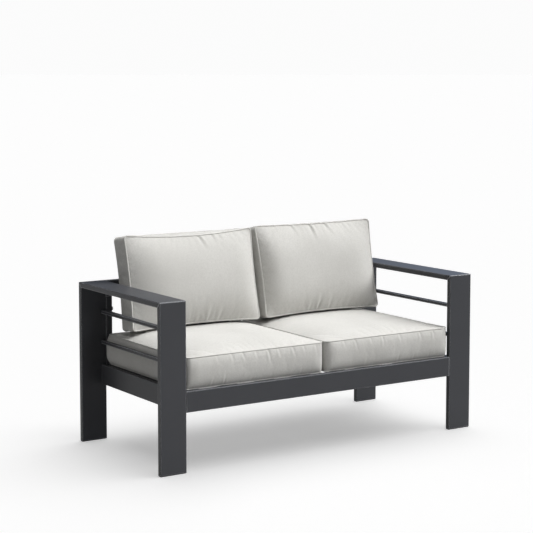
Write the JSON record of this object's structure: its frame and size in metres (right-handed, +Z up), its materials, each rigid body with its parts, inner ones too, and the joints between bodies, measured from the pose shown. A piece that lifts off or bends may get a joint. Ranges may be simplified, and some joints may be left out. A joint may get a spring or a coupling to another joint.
{
  "type": "patio loveseat",
  "caption": "Outdoor loveseat with a flat-tube metal frame, slab arms, slatted deck and back, and loose piped seat and back cushions.",
  "frame": {"origin": "on the floor under the middle of the frame", "axes": "+X to the right as seen from the front, +Y from the front to the back, +Z up; a sitter looks towards -Y"},
  "size_m": [1.393, 0.628, 0.7922],
  "materials": {
    "frame_metal": "charcoal powder coat with a fine satin texture",
    "foot_plastic": "matt black moulded plastic",
    "fastener_steel": "bare zinc-plated steel",
    "cushion_fabric": "light warm grey woven outdoor fabric",
    "cushion_foam": "open-cell foam",
    "piping_fabric": "the same woven fabric over a cord"
  },
  "bodies": {
    "frame": {"left_front_leg": "frame_metal", "left_rear_leg": "frame_metal", "left_arm": "frame_metal", "left_front_foot": "foot_plastic", "left_rear_foot": "foot_plastic", "left_side_rail": "frame_metal", "left_lower_bar": "frame_metal", "left_upper_bar": "frame_metal", "left_back_post": "frame_metal", "left_front_bracket": "frame_metal", "left_rear_bracket": "frame_metal", "right_front_leg": "frame_metal", "right_rear_leg": "frame_metal", "right_arm": "frame_metal", "right_front_foot": "foot_plastic", "right_rear_foot": "foot_plastic", "right_side_rail": "frame_metal", "right_lower_bar": "frame_metal", "right_upper_bar": "frame_metal", "right_back_post": "frame_metal", "right_front_bracket": "frame_metal", "right_rear_bracket": "frame_metal", "front_rail": "frame_metal", "rear_rail": "frame_metal", "back_top_rail": "frame_metal", "seat_slat_1": "frame_metal", "seat_slat_2": "frame_metal", "seat_slat_3": "frame_metal", "seat_slat_4": "frame_metal", "seat_slat_5": "frame_metal", "seat_slat_6": "frame_metal", "seat_slat_7": "frame_metal", "seat_slat_8": "frame_metal", "back_slat_1": "frame_metal", "back_slat_2": "frame_metal", "back_slat_3": "frame_metal", "back_slat_4": "frame_metal", "back_slat_5": "frame_metal", "back_slat_6": "frame_metal", "back_slat_7": "frame_metal", "back_slat_8": "frame_metal", "back_slat_9": "frame_metal", "bracket_bolts": "fastener_steel", "back_bolts": "fastener_steel", "nuts": "fastener_steel"},
    "left_seat_cushion": {"left_seat_cushion_cover": "cushion_fabric", "left_seat_cushion_foam": "cushion_foam", "left_seat_cushion_piping": "piping_fabric"},
    "left_back_cushion": {"left_back_cushion_cover": "cushion_fabric", "left_back_cushion_foam": "cushion_foam", "left_back_cushion_piping": "piping_fabric"},
    "right_seat_cushion": {"right_seat_cushion_cover": "cushion_fabric", "right_seat_cushion_foam": "cushion_foam", "right_seat_cushion_piping": "piping_fabric"},
    "right_back_cushion": {"right_back_cushion_cover": "cushion_fabric", "right_back_cushion_foam": "cushion_foam", "right_back_cushion_piping": "piping_fabric"}
  },
  "joints": [
    {"name": "left_seat_cushion_lift", "type": "slide", "parent": "frame", "child": "left_seat_cushion", "axis": [0, 0, 1], "range_m": [0, 0.35]},
    {"name": "right_seat_cushion_lift", "type": "slide", "parent": "frame", "child": "right_seat_cushion", "axis": [0, 0, 1], "range_m": [0, 0.35]},
    {"name": "left_back_cushion_lift", "type": "slide", "parent": "left_seat_cushion", "child": "left_back_cushion", "axis": [0, 0, 1], "range_m": [0, 0.4]},
    {"name": "right_back_cushion_lift", "type": "slide", "parent": "right_seat_cushion", "child": "right_back_cushion", "axis": [0, 0, 1], "range_m": [0, 0.4]}
  ]
}
